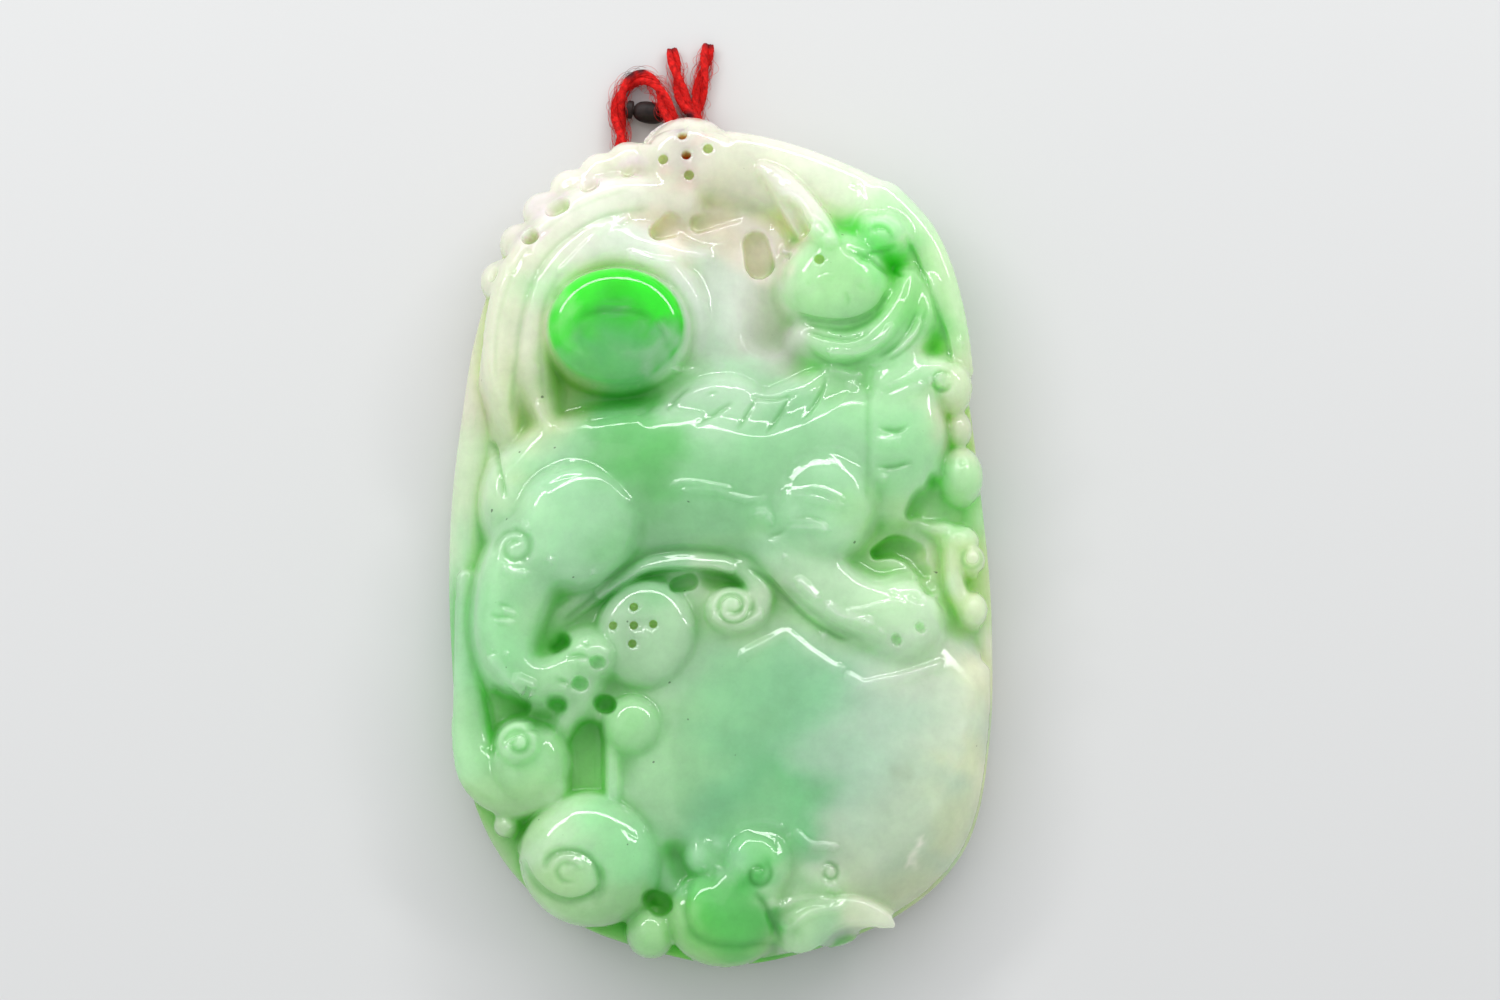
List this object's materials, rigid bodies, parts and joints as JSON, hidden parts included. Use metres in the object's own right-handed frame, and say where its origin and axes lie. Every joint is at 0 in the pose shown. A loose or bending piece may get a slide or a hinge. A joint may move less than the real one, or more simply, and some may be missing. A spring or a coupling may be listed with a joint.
{
  "type": "carved jade pendant",
  "caption": "Oval one-piece relief-carved jade plaque with a flat back, a drilled knob at the top, a short red cord and a small dark bead.",
  "frame": {"origin": "bottom centre of the jade's box, on its flat back", "axes": "+Z out of the carved face, +Y towards the knob that the cord passes through, +X to the right of the carved face"},
  "size_m": [0.0422, 0.0727, 0.0112],
  "materials": {
    "jade": "polished",
    "red_yarn": "woolly two-ply",
    "dark_bead": "waxed"
  },
  "bodies": {
    "root": {"jade_carving": "jade", "red_cord": "red_yarn", "dark_bead": "dark_bead"}
  },
  "joints": []
}
